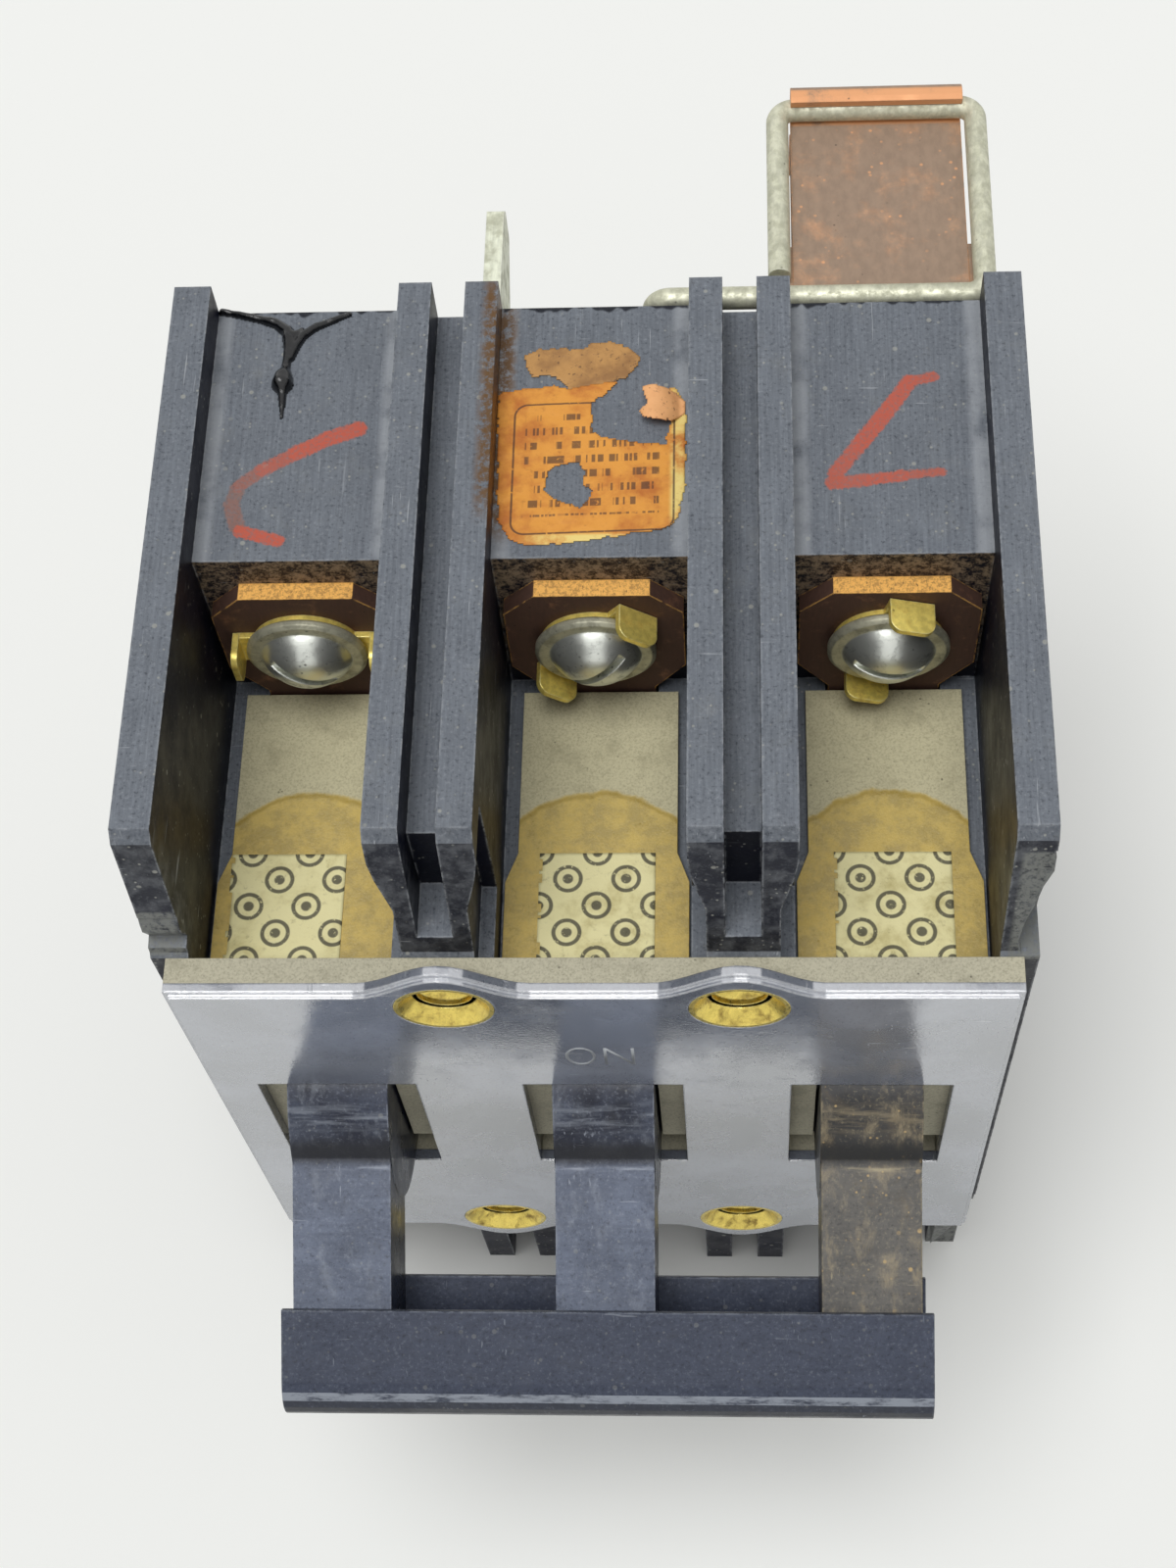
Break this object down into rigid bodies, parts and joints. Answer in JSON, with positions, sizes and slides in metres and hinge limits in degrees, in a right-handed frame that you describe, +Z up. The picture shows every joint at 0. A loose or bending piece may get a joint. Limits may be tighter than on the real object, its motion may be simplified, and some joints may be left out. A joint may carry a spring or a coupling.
{
  "type": "three-pole plug-on circuit breaker switch",
  "caption": "Open-fronted moulded switch block with ganged toggles on a tie bar, screw terminals at one end and plug-on spring jaws on its back.",
  "frame": {"origin": "centre of the foot of the rear blocks, on the line end that the part stands on", "axes": "+X across the poles to the right seen from the face, +Y out of the case back towards the plug-on jaws, +Z up to the load end with the screw terminals"},
  "size_m": [0.1048, 0.1579, 0.157],
  "materials": {
    "case_moulding": "dusty dark slate moulding",
    "cover_moulding": "satin grey-blue moulding, scratched",
    "fibre_board": "grey-brown vulcanised fibre",
    "insulating_paper": "beige fibre sheet",
    "brass": "worn golden brass",
    "terminal_copper": "oxidised copper",
    "jaw_copper": "brown tarnished copper",
    "screw_steel": "bright plated steel",
    "zinc_steel": "dull zinc plating",
    "inner_steel": "plain steel",
    "contact_silver": "silver alloy",
    "bimetal_strip": "rolled bimetal",
    "copper_braid": "woven copper",
    "toggle_moulding": "worn dark moulding",
    "tie_sheet": "dark enamel over sheet steel",
    "red_fibre": "red-brown fibre",
    "black_moulding": "black moulding"
  },
  "bodies": {
    "case": {"base": "case_moulding", "cover": "cover_moulding", "spacer_board": "fibre_board", "case_eyelets": "brass", "mounting_prong": "zinc_steel", "bearing_inserts": "red_fibre", "fixed_contacts": "contact_silver", "arc_plates": "inner_steel", "arc_liners": "red_fibre", "contact_braids": "copper_braid", "bimetals": "bimetal_strip", "magnet_yokes": "inner_steel", "load_terminal_left": "terminal_copper", "clamp_washer_left": "brass", "floor_sheet_left": "insulating_paper", "line_strap_left": "terminal_copper", "jaw_upper_left": "jaw_copper", "jaw_lower_left": "jaw_copper", "jaw_spring_left": "zinc_steel", "load_terminal_middle": "terminal_copper", "clamp_washer_middle": "brass", "floor_sheet_middle": "insulating_paper", "line_strap_middle": "terminal_copper", "jaw_upper_middle": "jaw_copper", "jaw_lower_middle": "jaw_copper", "jaw_spring_middle": "zinc_steel", "load_terminal_right": "terminal_copper", "clamp_washer_right": "brass", "floor_sheet_right": "insulating_paper", "line_strap_right": "terminal_copper", "jaw_upper_right": "jaw_copper", "jaw_lower_right": "jaw_copper", "jaw_spring_right": "zinc_steel"},
    "handle": {"toggle_left": "toggle_moulding", "toggle_middle": "toggle_moulding", "toggle_right": "toggle_moulding", "handle_tie": "tie_sheet", "handle_shaft": "inner_steel", "drive_pins": "inner_steel"},
    "contact_carrier": {"crossbar": "black_moulding", "drive_forks": "inner_steel", "contact_arm_left": "terminal_copper", "contact_arm_middle": "terminal_copper", "contact_arm_right": "terminal_copper", "moving_contacts": "contact_silver", "crossbar_springs": "inner_steel"},
    "trip_lever": {"trip_bar": "red_fibre", "armatures": "inner_steel"},
    "screw_left": {"terminal_screw_left": "screw_steel"},
    "screw_middle": {"terminal_screw_middle": "screw_steel"},
    "screw_right": {"terminal_screw_right": "screw_steel"}
  },
  "joints": [
    {"name": "handle_turn", "type": "hinge", "parent": "case", "child": "handle", "pos_m": [0, -0.0598, 0.08765], "axis": [-1, 0, 0], "range_deg": [-30, 30]},
    {"name": "contact_carrier_turn", "type": "hinge", "parent": "case", "child": "contact_carrier", "pos_m": [0, -0.0158, 0.08765], "axis": [-1, 0, 0], "range_deg": [-11.5, 11.5]},
    {"name": "trip_lever_turn", "type": "hinge", "parent": "case", "child": "trip_lever", "pos_m": [0, -0.0405, 0.106], "axis": [-1, 0, 0], "range_deg": [0, 12], "stiffness_Nm_per_rad": 0.005, "springref_deg": -5.73},
    {"name": "terminal_screw_left_turn", "type": "hinge", "parent": "case", "child": "screw_left", "pos_m": [-0.036, -0.0217, 0.136], "axis": [0, -1, 0], "continuous": true},
    {"name": "terminal_screw_middle_turn", "type": "hinge", "parent": "case", "child": "screw_middle", "pos_m": [0, -0.0217, 0.136], "axis": [0, -1, 0], "continuous": true},
    {"name": "terminal_screw_right_turn", "type": "hinge", "parent": "case", "child": "screw_right", "pos_m": [0.036, -0.0217, 0.136], "axis": [0, -1, 0], "continuous": true}
  ],
  "couplings": [
    {"joint": "contact_carrier_turn", "follows": "handle_turn", "ratio": -0.382}
  ]
}
